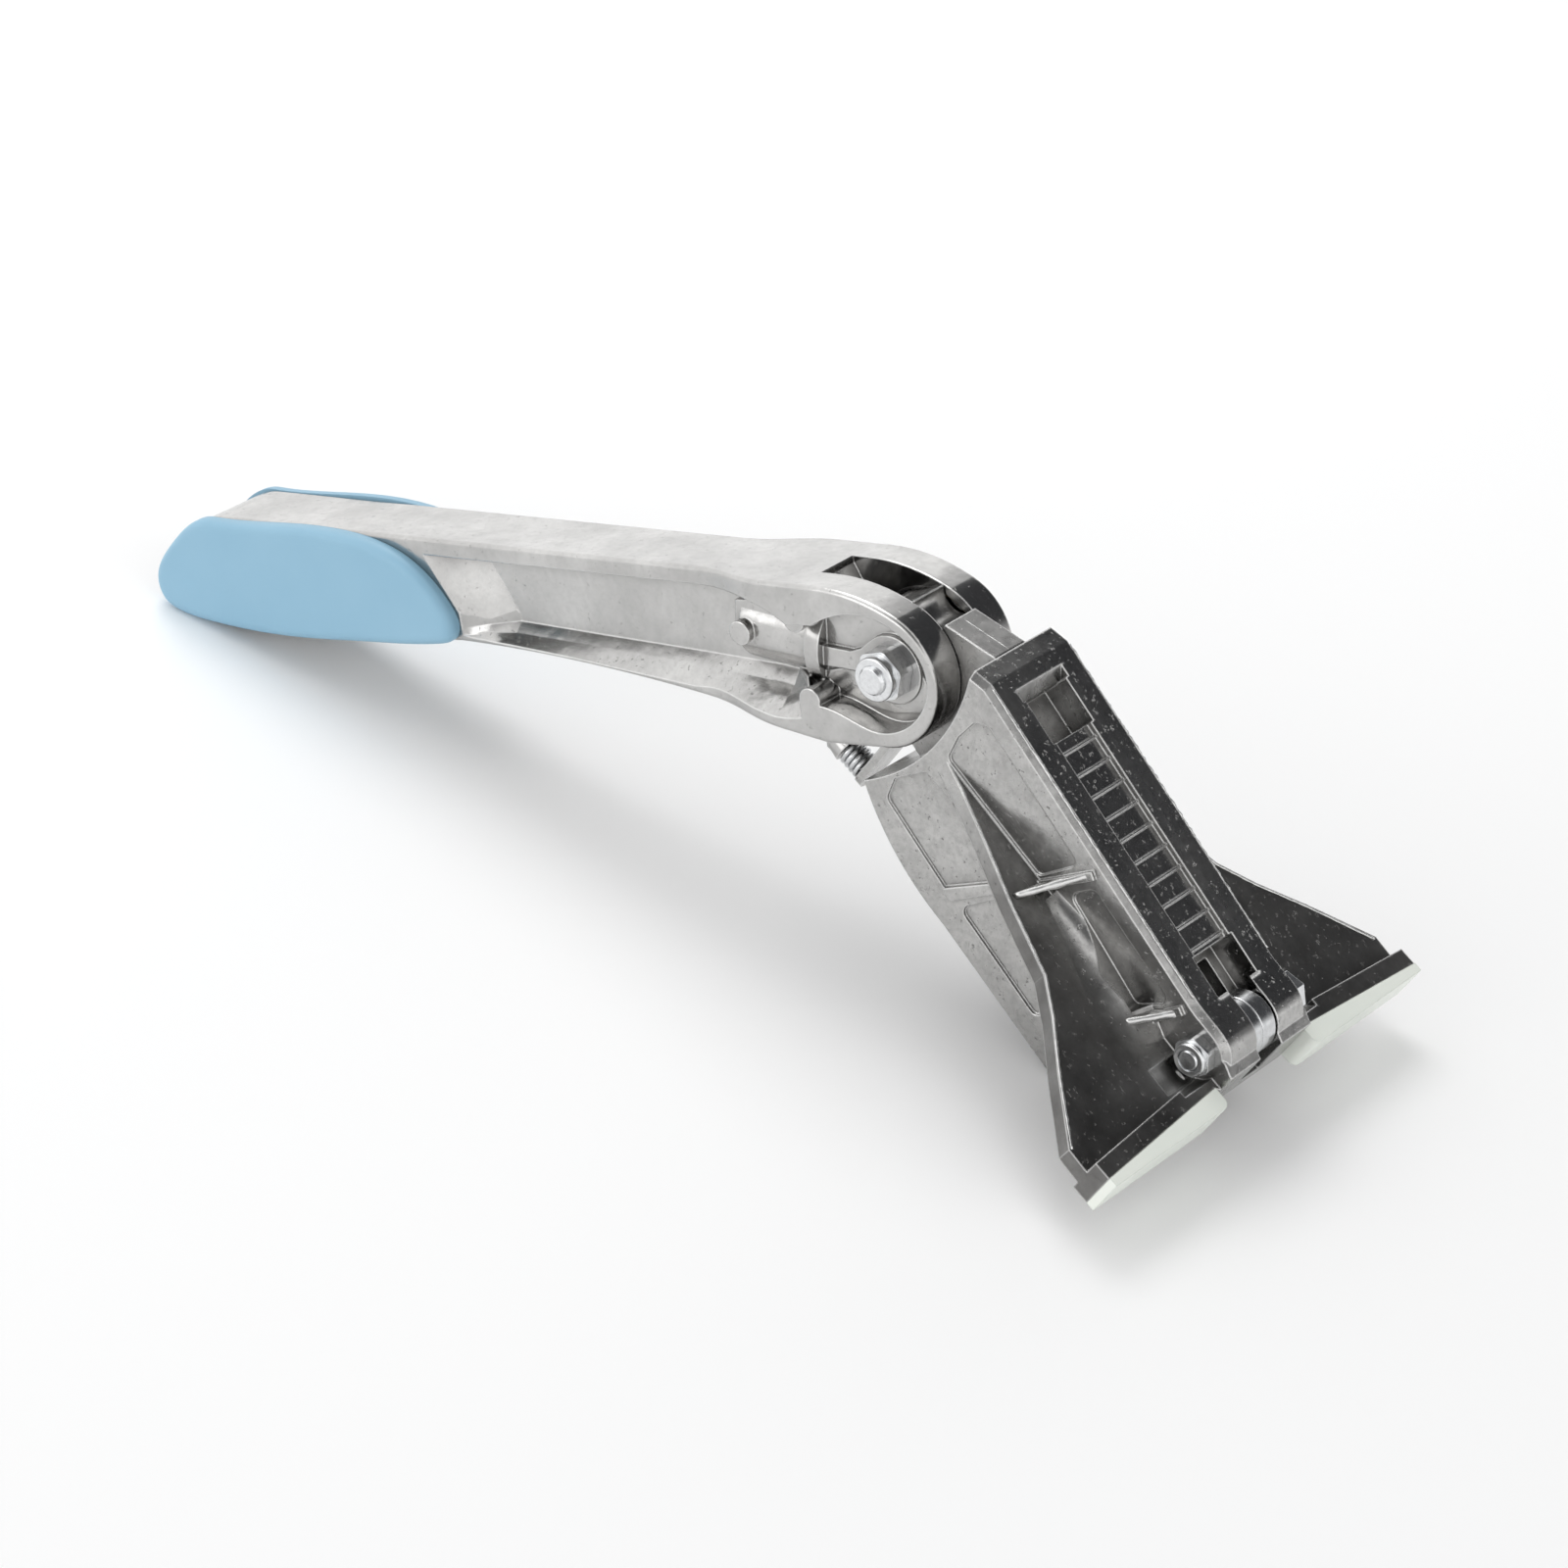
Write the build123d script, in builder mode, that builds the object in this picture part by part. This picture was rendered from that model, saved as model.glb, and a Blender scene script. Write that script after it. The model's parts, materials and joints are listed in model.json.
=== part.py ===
from build123d import *
import os
from math import atan2, cos, degrees, radians, sin, tan

# Articulated cast lever of a manual tile cutter: a handle with two inlaid grip
# pads, hinged on the knuckle of a lever body that ends in a winged breaking
# foot and a fork with a roller.  Millimetres, +Z up, Y is the pivot axis and the
# object is symmetric about Y = 0 apart from its fasteners.  The lever stands as
# an arch, on the rear corner of its body and on the end of its handle.

os.makedirs("parts", exist_ok=True)

# ---------------------------------------------------------------- driving sizes
body_drop = 27.39          # slope of the body's axis below the floor line, degrees
handle_rise = 18.90        # slope of the handle's back, rising to the pivot, degrees
pivot_x = 60.545           # pivot axis, from the centre of the object's box
pivot_z = 86.43            # pivot axis above the floor
axis_length = 126.8        # pivot axis to fork axis

ear_radius = 19.2
ear_half = 17.5            # half the width over the two ears
beam_half = 12.2           # half the width of the handle's beam
slot_half = 6.8            # half the gap between the ears
knuckle_half = 6.5         # half the width of the knuckle and neck
body_half = 18.4           # half the width of the lever body
top_line = 23.5            # height of the handle's back above the pivot
web_half = 4.9             # half the web between the handle's two pockets

bolt_radius = 4.0          # M8 pivot bolt
sleeve_radius = 5.5
bush_radius = 7.0
fork_bolt_radius = 3.0     # M6 fork bolt
fork_gap_half = 5.0
spot_face_radius = 7.2
lug_radius = 8.8
roller_radius = 8.5

foot_face = 142.0          # the pads' soles, along the body's axis
wing_half = 70.5           # half the span of the foot
wing_thickness = 4.6
pad_inner = 20.0           # inner end of each pad, from the middle

through = 30.0             # half depth of a cut that goes right through
play = 0.05                # running clearance round a pin or a sleeve


# ---------------------------------------------------------------- local planes
def handle_plane(toward_near=0.0):
    """Side plane of the handle: x along the beam to the pivot, y up."""
    a = radians(handle_rise)
    return Plane(origin=(pivot_x, -toward_near, pivot_z), x_dir=(cos(a), 0, sin(a)), z_dir=(0, -1, 0))


def handle_point(along, up, across=0.0):
    """A point of the handle's frame in the object's frame."""
    a = radians(handle_rise)
    return (pivot_x + along * cos(a) - up * sin(a), across, pivot_z + along * sin(a) + up * cos(a))


def handle_section_plane(along):
    """Cross-section of the handle: x toward the near side, y up, normal back along it."""
    a = radians(handle_rise)
    return Plane(origin=handle_point(along, 0), x_dir=(0, -1, 0), z_dir=(-cos(a), 0, -sin(a)))


def handle_top_plane():
    """Plan of the handle: x along the beam, y across, normal out of its back."""
    a = radians(handle_rise)
    return Plane(origin=(pivot_x, 0, pivot_z), x_dir=(cos(a), 0, sin(a)), z_dir=(-sin(a), 0, cos(a)))


def body_plane(toward_near=0.0):
    """Side plane of the body: x along its axis to the fork, y to its front."""
    a = radians(body_drop)
    return Plane(origin=(pivot_x, -toward_near, pivot_z), x_dir=(cos(a), 0, -sin(a)), z_dir=(0, -1, 0))


def body_plan_plane(front=0.0):
    """Plan of the body, seen from its front: x along the axis, y across."""
    a = radians(body_drop)
    origin = (pivot_x + front * sin(a), 0, pivot_z + front * cos(a))
    return Plane(origin=origin, x_dir=(cos(a), 0, -sin(a)), z_dir=(sin(a), 0, cos(a)))


def body_point(along, front, across=0.0):
    """A point of the body's frame in the object's frame."""
    a = radians(body_drop)
    return (pivot_x + along * cos(a) + front * sin(a), across, pivot_z - along * sin(a) + front * cos(a))


def body_section_plane(along):
    """Cross-section of the body: x across, y to its front, normal along the axis."""
    a = radians(body_drop)
    return Plane(origin=body_point(along, 0), x_dir=(0, 1, 0), z_dir=(cos(a), 0, -sin(a)))


def sided_plane(plane_maker, side, distance):
    """The side plane at a distance toward the near (+1) or far (-1) side."""
    return plane_maker(side * distance)


# The bumper spring lies between a lug of the handle and a tab of the body.
spring_line = -38.9        # its axis, on the body's front-to-back scale
spring_seat = 2.0          # the lug's face, along the body's axis
spring_stop = 9.4          # the tab's face, along the body's axis
peg_radius, peg_depth = 1.9, 6.0

# ---------------------------------------------------------------- handle casting
tail_l = -257.2            # end of the beam under the grip
flare_start, flare_end = -62.0, -34.0
blend_l = -17.0            # where the straight back turns into the ear
blend_radius = (blend_l**2 + top_line**2 - ear_radius**2) / (2 * (top_line - ear_radius))
blend_gap = blend_radius - ear_radius
blend_end = (-blend_l * ear_radius / blend_gap, (blend_radius - top_line) * ear_radius / blend_gap)
blend_mid_angle = radians(80.0)
blend_mid = (
    blend_l + blend_radius * cos(blend_mid_angle),
    top_line - blend_radius + blend_radius * sin(blend_mid_angle),
)

outline_fillet = 1.3
stub_radius = 3.3
pin_spots = [(-47.6, 6.3, 12.6), (-24.6, 13.6, 17.3), (-23.0, -8.2, 17.5)]
boss_tilt = -7.5           # slope of the plunger boss to the beam, aimed at the pivot
hub_face = 10.6            # the nut's seat, from the middle
ear_floor = 8.8            # the floor of the ear's pocket, from the middle
end_wall_lean = 31.0       # lean of the pocket's end wall, which follows the grip's edge
grip_pins = [(-236.0, 7.0), (-176.0, 6.0)]
grip_pin_radius, grip_pin_length = 3.2, 3.0
boss_radius, boss_start_l, boss_length = 10.4, 24.0, 26.0
plunger_radius, plunger_bore_radius, plunger_bore_depth = 4.04, 4.1, 46.0

# Pocket of the beam on the near side, cut into both sides of the casting.  Each row of
# its lower wall: place along the beam, then depth and height of floor, ridge and rim.
pocket_top = 18.8
lower_wall = [
    (-146.8, 12.0, -1.0, 12.1, -2.2, 12.2, -3.6),
    (-139.0, 9.0, -0.9, 10.2, -2.6, 12.2, -4.3),
    (-131.0, web_half, -0.6, 8.0, -3.0, 12.2, -4.9),
    (-100.0, web_half, -1.9, 8.0, -4.2, 12.2, -7.4),
    (-66.0, web_half, -3.2, 8.0, -5.9, 12.6, -10.8),
    (-41.0, web_half, -4.4, 8.0, -7.9, 16.6, -13.0),
    (-35.0, 5.4, -4.8, 8.5, -8.4, 17.5, -14.0),
    (-26.5, 12.5, -6.5, 14.0, -9.0, 17.5, -13.4),
]
with BuildPart() as beam_pocket:
    # sloping end wall in two facets, kept below the back
    a = radians(handle_rise + end_wall_lean)
    end_wall_plane = Plane(
        origin=handle_point(-150, 8), x_dir=(cos(a), 0, sin(a)), z_dir=(sin(a), 0, -cos(a))
    )
    with BuildSketch(end_wall_plane):
        Polygon(
            (13.6, web_half), (5.6, 9.0), (-0.2, beam_half), (-0.2, 22.0), (24.0, 22.0),
            (24.0, web_half), align=None,
        )
    extrude(amount=through, both=True)
    with BuildSketch(handle_plane()):
        Polygon(
            (-170.0, pocket_top), (-128.0, pocket_top), (-128.0, -0.6), (-170.0, -0.6), align=None
        )
    extrude(amount=through, both=True, mode=Mode.INTERSECT)
    # floor on the web
    with BuildSketch(handle_plane(web_half)):
        with BuildLine():
            Line((-135.0, pocket_top), (flare_start, pocket_top))
            Spline(
                [(flare_start, pocket_top), (-50.0, 18.9), (-40.0, 18.0), (-30.0, 14.0)],
                tangents=[(1, 0), (1, -0.7)],
            )
            Polyline(
                (-30.0, 14.0), (-25.0, 11.0), (-25.0, -4.0), (-42.0, -4.2), (-73.6, -2.9),
                (-130.0, -0.5), (-135.0, 9.0), (-135.0, pocket_top),
            )
        make_face()
    extrude(amount=ear_half)
    # lower wall, with a ridge half way up
    for near_row, far_row in zip(lower_wall[:-1], lower_wall[1:]):
        for along, floor_y, floor_w, ridge_y, ridge_w, rim_y, rim_w in (near_row, far_row):
            steep = (ridge_w - rim_w) / max(rim_y - ridge_y, 1.0)
            with BuildSketch(handle_section_plane(along)):
                Polygon(
                    (floor_y, 4.0), (floor_y, floor_w), (ridge_y, ridge_w), (rim_y, rim_w),
                    (rim_y + 3.0, rim_w - 3.0 * steep), (rim_y + 3.0, 4.0), align=None,
                )
        loft(ruled=True)

with BuildPart() as handle_casting:
    with BuildSketch(handle_plane()):
        with BuildLine():
            Line((-232.0, top_line), (blend_l, top_line))
            ThreePointArc((blend_l, top_line), blend_mid, blend_end)
            ThreePointArc(blend_end, (ear_radius, 0), (0, -ear_radius))
            Line((0, -ear_radius), (-19.5, -19.8))
            Spline([(-19.5, -19.8), (-42.0, -16.2), (-69.0, -12.0), (-97.0, -8.6), (-148.0, -5.6)])
            Spline(
                [
                    (-148.0, -5.6), (-178.0, -7.4), (-210.0, -8.7), (-236.0, -7.4), (-249.5, -4.4),
                    (tail_l, 2.0), (-254.0, 10.4), (-245.0, 18.8), (-232.0, top_line),
                ],
                tangents=[(-1, -0.06), (1, 0)],
            )
        make_face()
    extrude(amount=ear_half, both=True)
    with BuildSketch(handle_top_plane()):
        with BuildLine():
            for across in (1, -1):
                Line((-262, across * beam_half), (flare_start, across * beam_half))
                Spline(
                    [(flare_start, across * beam_half), (flare_end, across * ear_half)],
                    tangents=[(1, 0), (1, 0)],
                )
                Line((flare_end, across * ear_half), (30, across * ear_half))
            Line((-262, -beam_half), (-262, beam_half))
            Line((30, -ear_half), (30, ear_half))
        make_face()
    extrude(amount=60, both=True, mode=Mode.INTERSECT)
    back_up = handle_top_plane().z_dir
    outline = [
        edge
        for edge in handle_casting.edges()
        if min(abs(edge.position_at(t).Y) for t in (0, 0.5, 1)) > beam_half - 0.05
        and not (edge.geom_type == GeomType.LINE and abs(edge.tangent_at(0).dot(back_up)) > 0.99)
    ]
    fillet(outline, radius=outline_fillet)

    for side in (1, -1):
        # pocket of the ear
        with BuildSketch(sided_plane(handle_plane, side, ear_half)):
            with BuildLine():
                Spline(
                    [
                        (-19.0, 12.8), (-12.6, 15.6), (-4.4, 17.0), (3.7, 15.9), (10.9, 11.9), (15.7, 5.6),
                        (16.3, -1.6), (13.2, -8.2), (6.2, -13.5), (-2.0, -14.9), (-9.4, -12.6), (-18.4, -9.6),
                    ]
                )
                Polyline((-18.4, -9.6), (-27.0, -8.6), (-27.0, 12.4), (-19.0, 12.8))
            make_face()
        extrude(amount=side * (ear_floor - ear_half), mode=Mode.SUBTRACT)
        pocket = beam_pocket.part if side > 0 else mirror(beam_pocket.part, about=Plane.XZ)
        add(pocket, mode=Mode.SUBTRACT)
        # sockets of the grip's pins
        with BuildSketch(sided_plane(handle_plane, side, beam_half)):
            with Locations(*grip_pins):
                Circle(grip_pin_radius + 0.1)
        extrude(amount=-side * (grip_pin_length + 0.4), mode=Mode.SUBTRACT)

    # plunger boss between the pockets, with its collar at the slot
    boss_angle = radians(handle_rise + boss_tilt)
    boss_dir = (-cos(boss_angle), 0, -sin(boss_angle))
    boss_start = Plane(origin=(pivot_x, 0, pivot_z), z_dir=boss_dir, x_dir=(0, 1, 0))
    with BuildSketch(boss_start.offset(boss_start_l - 2.0)):
        Circle(boss_radius + 2.6)
    extrude(amount=4.6)
    with BuildSketch(boss_start.offset(boss_start_l)):
        Circle(boss_radius)
    extrude(amount=boss_length)

    # block between the boss and the pocket's upper wall
    with BuildSketch(handle_plane()):
        Polygon((-50.5, 14.2), (-37.0, 14.8), (-30.0, 12.0), (-30.0, 5.0), (-52.0, 6.0), align=None)
    extrude(amount=8.8, both=True)
    # keyhole-shaped hub round the nut, running back to the collar, over a low skirt
    with BuildSketch(handle_plane()):
        Polygon(
            (-17.0, -8.0), (-9.3, -11.2), (-1.7, -12.4), (6.7, -11.6), (12.0, -8.0), (9.0, 0.0),
            (-10.0, 0.0), (-25.0, -3.0), align=None,
        )
    extrude(amount=ear_floor + 0.9, both=True)
    with BuildSketch(handle_plane()):
        Circle(9.4)
        Polygon(
            (-27.0, 5.0), (-12.6, 3.9), (-9.2, 5.0), (-6.0, 7.2), (0, 0), (-8.0, -4.9),
            (-11.0, -1.5), (-27.0, -0.6), align=None,
        )
    extrude(amount=hub_face, both=True)
    # moulding-pin stubs
    for along, up, reach in pin_spots:
        with BuildSketch(handle_plane()):
            with Locations((along, up)):
                Circle(stub_radius)
        extrude(amount=reach, both=True)

    # lug underneath, the seat of the bumper spring, with the bore of its peg
    with BuildSketch(body_plane()):
        Polygon(
            (spring_seat, -24.0), (spring_seat, -40.6), (-2.0, -41.4), (-12.0, -31.0),
            (-12.0, -24.0), align=None,
        )
    extrude(amount=3.4, both=True)
    with BuildSketch(body_section_plane(spring_seat)):
        with Locations((0, spring_line)):
            Circle(4.5)
    extrude(amount=-4.4, taper=8)
    with BuildSketch(body_section_plane(spring_seat)):
        with Locations((0, spring_line)):
            Circle(peg_radius + play)
    extrude(amount=-peg_depth - 0.1, mode=Mode.SUBTRACT)

    # slot between the ears, open over the top and the front
    with BuildSketch(handle_plane()):
        with BuildLine():
            Polyline((-21.5, 30.0), (-21.5, 21.5), (-18.9, 16.0), (-18.9, 2.0))
            ThreePointArc((-18.9, 2.0), (-15.7, -10.7), (-7.6, -17.4))
            Polyline((-7.6, -17.4), (-7.6, -30.0), (30.0, -30.0), (30.0, 30.0), (-21.5, 30.0))
        make_face()
    extrude(amount=slot_half, both=True, mode=Mode.SUBTRACT)
    # round relief in the inner face of each ear
    with BuildSketch(handle_plane()):
        Circle(16.6)
    extrude(amount=slot_half + 0.4, both=True, mode=Mode.SUBTRACT)
    # bore of the pivot bolt
    with BuildSketch(handle_plane()):
        Circle(bolt_radius + play)
    extrude(amount=through, both=True, mode=Mode.SUBTRACT)
    # blind bore of the plunger
    with BuildSketch(boss_start):
        Circle(plunger_bore_radius)
    extrude(amount=plunger_bore_depth, mode=Mode.SUBTRACT)
handle_casting.part.label = "handle_casting"

# ---------------------------------------------------------------- lever body
front_top = (24.0, 27.8)       # top front corner of the body's box
front_low = (117.5, 9.6)       # where its front edge meets the fork's lugs
front_slope = degrees(atan2(front_top[1] - front_low[1], front_low[0] - front_top[0]))
front_chamfer = 1.8
knuckle_radius = 15.9
track_radius = 14.7            # floor of the plunger's track in the knuckle
track_from, track_to = 156.0, 238.0
hollow_half = 13.6             # half the width of the hollow in the back
panel_depth = 0.8              # depth of the panels in the sides
wing_slope = 4.0               # the wings lean back from the body's axis
wing_top_v = 1.0               # front face of the wings at their upper end
sole_inner = 136.1             # the foot's sole at the pads' inner end
sole_outer = 139.5             # and at the wing tips
sole_middle = 137.4            # and under the fork
sole_back = -13.2              # back edge of the foot, on the front-to-back scale
flange = 5.2                   # thickness of the foot's flange


def polar(radius, angle):
    return (radius * cos(radians(angle)), radius * sin(radians(angle)))


def front_plane(depth=0.0):
    """The body's front face: x down its length, y across, normal out of it."""
    a = radians(body_drop + front_slope)
    x, y, z = body_point(*front_top)
    origin = (x - depth * sin(a), y, z - depth * cos(a))
    return Plane(origin=origin, x_dir=(cos(a), 0, -sin(a)), z_dir=(sin(a), 0, cos(a)))


def wing_plane():
    """Front face of the wings: x down its length from the pivot, y across."""
    a = radians(body_drop + wing_slope)
    origin = body_point(0, wing_top_v + 27.0 * tan(radians(wing_slope)))
    return Plane(origin=origin, x_dir=(cos(a), 0, -sin(a)), z_dir=(sin(a), 0, cos(a)))


wing_edge = [
    (23.5, 17.0), (36.0, 20.6), (50.0, 25.6), (68.0, 32.6), (88.0, 39.0),
    (98.0, 46.2), (111.0, 57.4), (127.6, wing_half),
]
# Opening of the front, down its length: bevelled rim, then the well with its ribs.
rim_start, rim_length, rim_half, bevel_depth = 4.4, 97.2, 12.4, 0.4
well_start, well_step, well_low, well_end = 8.0, 21.0, 85.4, 101.0
well_half, well_depth = 7.7, 2.0
rib_count, rib_first, rib_pitch = 10, 24.6, 6.57

# Panels in the sides, then the gussets, each from one end to the other.
upper_front = [(28.0, 1.5), (26.6, 9.0), (27.4, 16.6), (31.0, 19.3), (72.0, 11.4), (66.0, -1.4)]
lower_front = [(75.0, 2.5), (79.0, 10.1), (113.4, 3.9), (106.6, -5.4)]
upper_back = [(26.0, -7.0), (20.8, -16.8), (22.6, -23.6), (50.4, -29.0), (58.4, -14.4), (56.0, -7.0)]
lower_back = [(66.0, -9.0), (56.0, -29.6), (90.0, -34.6), (94.0, -12.0)]
gussets = [((76.6, 13.4), (66.4, -5.0)), ((116.4, 5.8), (110.0, -8.0))]
# Fairings between the sides and the wings: place, width and height.
fairing = [(72.0, 5.0, 3.6), (104.0, 20.0, 7.2), (117.5, 21.0, 0.6)]

with BuildPart() as lever_body:
    # side shape of the box, its seat round the ears and the fork's lugs
    with BuildSketch(body_plane()):
        with BuildLine():
            Polyline((18.4, 26.6), front_top, front_low)
            lug_start = polar(lug_radius, 74)
            lug_start = (axis_length + lug_start[0], lug_start[1])
            Spline([front_low, lug_start], tangents=[(1, -0.195), (sin(radians(74)), -cos(radians(74)))])
            ThreePointArc(lug_start, (axis_length + lug_radius, 0), (axis_length + 3.0, -8.27))
            Polyline((axis_length + 3.0, -8.27), (131.0, -12.0), (118.0, -30.0))
            ThreePointArc((118.0, -30.0), (111.5, -39.0), (102.0, -43.6))
            Line((102.0, -43.6), (56.0, -37.6))
            Spline([(56.0, -37.6), (26.0, -31.0), (15.0, -25.4)])
            ThreePointArc((15.0, -25.4), (23.4, 2.0), (18.4, 26.6))
        make_face()
    extrude(amount=body_half, both=True)
    sides = [
        edge
        for edge in lever_body.edges()
        if min(abs(edge.position_at(t).Y) for t in (0, 0.5, 1)) > body_half - 0.05
    ]
    front_up = body_plane().y_dir
    front_sides = [edge for edge in sides if (edge.center() - Vector(body_point(0, 0))).dot(front_up) > 15.0]
    chamfer(front_sides, length=front_chamfer)

    # knuckle with the plunger's track, the detent tooth and the neck
    with BuildSketch(body_plane()):
        with BuildLine():
            Polyline((30.0, 26.0), (17.8, 25.6), (2.4, 20.4), (2.4, 18.4))
            ThreePointArc((2.4, 18.4), (-2.6, 14.9), (-8.0, 17.9))
            Line((-8.0, 17.9), polar(knuckle_radius, 140))
            ThreePointArc(
                polar(knuckle_radius, 140), polar(knuckle_radius, 146), polar(knuckle_radius, track_from - 4)
            )
            Line(polar(knuckle_radius, track_from - 4), polar(track_radius, track_from))
            ThreePointArc(
                polar(track_radius, track_from), polar(track_radius, 197), polar(track_radius, track_to)
            )
            Line(polar(track_radius, track_to), polar(knuckle_radius, track_to + 4))
            ThreePointArc(
                polar(knuckle_radius, track_to + 4), polar(knuckle_radius, 270), polar(knuckle_radius, 300)
            )
            Polyline(polar(knuckle_radius, 300), (20.0, -16.0), (30.0, -16.0), (30.0, 26.0))
        make_face()
    extrude(amount=knuckle_half, both=True)
    # tab behind the neck that the bumper spring presses on
    with BuildSketch(body_section_plane(spring_stop)):
        with Locations((0, spring_line + 0.6)):
            Circle(4.8)
        with Locations((0, (spring_line - 14.0) / 2)):
            Rectangle(9.6, -14.0 - spring_line)
    extrude(amount=2.4)

    # wings of the breaking foot
    with BuildSketch(wing_plane()):
        Polygon(
            *wing_edge, (138.4, wing_half), (133.0, 10.0), (133.0, -10.0), (138.4, -wing_half),
            *[(along, -across) for along, across in reversed(wing_edge)], align=None,
        )
    extrude(amount=-wing_thickness)
    # flange along the sole and the plate under the fork
    with BuildSketch(body_plan_plane(sole_back)):
        Polygon(
            (sole_outer - flange, wing_half), (sole_outer, wing_half), (sole_inner, pad_inner),
            (sole_middle, pad_inner - 1.5), (sole_middle, 1.5 - pad_inner), (sole_inner, -pad_inner),
            (sole_outer, -wing_half), (sole_outer - flange, -wing_half),
            (sole_inner - flange, -pad_inner), (sole_inner - flange, pad_inner), align=None,
        )
    extrude(amount=11.0)
    with BuildSketch(body_plane()):
        Polygon(
            (130.0, sole_back), (sole_middle, sole_back), (sole_middle, 2.6), (133.6, 4.4), (130.0, 4.4),
            align=None,
        )
    extrude(amount=body_half, both=True)
    # concave fairings from the body's sides into the wings
    for side in (1, -1):
        for stretch in (fairing[:2], fairing[1:]):
            for along, wide, high in stretch:
                floor_v = wing_top_v - (along - 27.0) * tan(radians(wing_slope)) - 0.3
                with BuildSketch(body_section_plane(along)):
                    with BuildLine():
                        foot = (side * (body_half + wide), floor_v)
                        head = (side * (body_half - 0.4), floor_v + high)
                        Bezier(foot, (side * (body_half + 0.10 * wide), floor_v + 0.08 * high), head)
                        under = floor_v - 1.0
                        Polyline(
                            head, (side * (body_half - 0.4), under), (side * (body_half + wide), under), foot
                        )
                    make_face()
            loft()
        # spot face of the fork bolt
        with BuildSketch(sided_plane(body_plane, side, body_half)):
            with Locations((axis_length, 0)):
                Circle(spot_face_radius)
        extrude(amount=side * 12, mode=Mode.SUBTRACT)

    # opening of the front: faint bevel, sloping top end, then the well with its ribs
    for depth, inset, half in ((-0.1, 0.0, rim_half), (bevel_depth, 0.6, well_half + 0.1)):
        with BuildSketch(front_plane(depth)):
            with Locations((rim_start + rim_length / 2, 0)):
                Rectangle(rim_length - 2 * inset, 2 * half)
    loft(mode=Mode.SUBTRACT)
    a = radians(body_drop + front_slope)
    with BuildSketch(Plane(origin=body_point(*front_top), x_dir=(cos(a), 0, -sin(a)), z_dir=(0, -1, 0))):
        slant = well_start - rim_start
        Polygon((rim_start, 0.2), (rim_start, 0), (well_start, -slant), (well_start, 0.2), align=None)
    extrude(amount=well_half + 2.2, both=True, mode=Mode.SUBTRACT)
    for start, end, half, depth in (
        (well_start, well_step, well_half + 1.1, 9.0),
        (well_step, well_low, well_half, well_depth),
        (well_low, well_end, well_half + 1.1, 9.0),
    ):
        with BuildSketch(front_plane()):
            with Locations(((start + end) / 2, 0)):
                Rectangle(end - start, 2 * half)
        extrude(amount=-depth, mode=Mode.SUBTRACT)
    with BuildSketch(front_plane(well_depth + 0.1)):
        for index in range(rib_count):
            with Locations((rib_first + index * rib_pitch, 0)):
                Rectangle(0.9, 2 * well_half)
    extrude(amount=0.6, taper=12)

    # gap of the fork, cut round the roller
    with BuildSketch(body_plane()):
        with Locations((axis_length, 0)):
            Circle(roller_radius + 1.2)
        Polygon((108.0, -6.0), (axis_length, -9.6), (138.0, -9.0), (138.0, 14.0), (108.0, 18.0), align=None)
    extrude(amount=fork_gap_half, both=True, mode=Mode.SUBTRACT)

    # hollow open at the back
    with BuildSketch(body_plane()):
        Polygon((27.0, 13.0), (100.0, -2.0), (102.0, -56.0), (27.0, -50.0), align=None)
        Polygon((59.0, 30.0), (62.5, 30.0), (62.5, -60.0), (59.0, -60.0), align=None, mode=Mode.SUBTRACT)
    extrude(amount=hollow_half, both=True, mode=Mode.SUBTRACT)

    # shallow panels in the sides and the cross ribs over them
    for side in (1, -1):
        for corners in (upper_front, lower_front, upper_back, lower_back):
            with BuildSketch(sided_plane(body_plane, side, body_half - panel_depth)):
                Polygon(*corners, align=None)
                fillet(vertices(), radius=2.2)
            extrude(amount=side * 6, mode=Mode.SUBTRACT)
        # gusset ribs between the side and the wing
        for rib_start, rib_end in gussets:
            with BuildSketch(sided_plane(body_plane, side, body_half - 1.0)):
                slope = atan2(rib_start[1] - rib_end[1], rib_start[0] - rib_end[0])
                across = (-1.2 * sin(slope), 1.2 * cos(slope))
                Polygon(
                    (rib_start[0] + across[0], rib_start[1] + across[1]),
                    (rib_start[0] - across[0], rib_start[1] - across[1]),
                    (rib_end[0] - across[0], rib_end[1] - across[1]),
                    (rib_end[0] + across[0], rib_end[1] + across[1]), align=None,
                )
            extrude(amount=side * 2.2)
        # low rib across the back panels
        with BuildSketch(sided_plane(body_plane, side, body_half - 1.0)):
            Polygon((62.6, -13.0), (59.4, -13.0), (49.6, -28.6), (53.0, -30.0), align=None)
        extrude(amount=side * 1.9)
        # ejector stub on the lug
        with BuildSketch(sided_plane(body_plane, side, body_half - 1.0)):
            with Locations((128.0, -9.0)):
                Circle(2.6)
        extrude(amount=side * 4.0)

    # bores of the pivot bushes and of the fork bolt
    with BuildSketch(body_plane()):
        Circle(bush_radius)
        with Locations((axis_length, 0)):
            Circle(fork_bolt_radius + play)
    extrude(amount=through, both=True, mode=Mode.SUBTRACT)
lever_body.part.label = "lever_body"

# ---------------------------------------------------------------- breaking pads
pads = {}
for name, side in (("pad_near", -1), ("pad_far", 1)):
    with BuildPart() as pad:
        with BuildSketch(body_plan_plane(sole_back - 0.2)):
            inner = side * pad_inner
            Polygon(
                (sole_inner, inner), (sole_outer, side * wing_half),
                (foot_face, side * wing_half), (foot_face, inner), align=None,
            )
            fillet(vertices().sort_by_distance(Vector(foot_face, inner))[:1], radius=2.6)
        extrude(amount=11.6)
    pad.part.label = name
    pads[name] = pad

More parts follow.
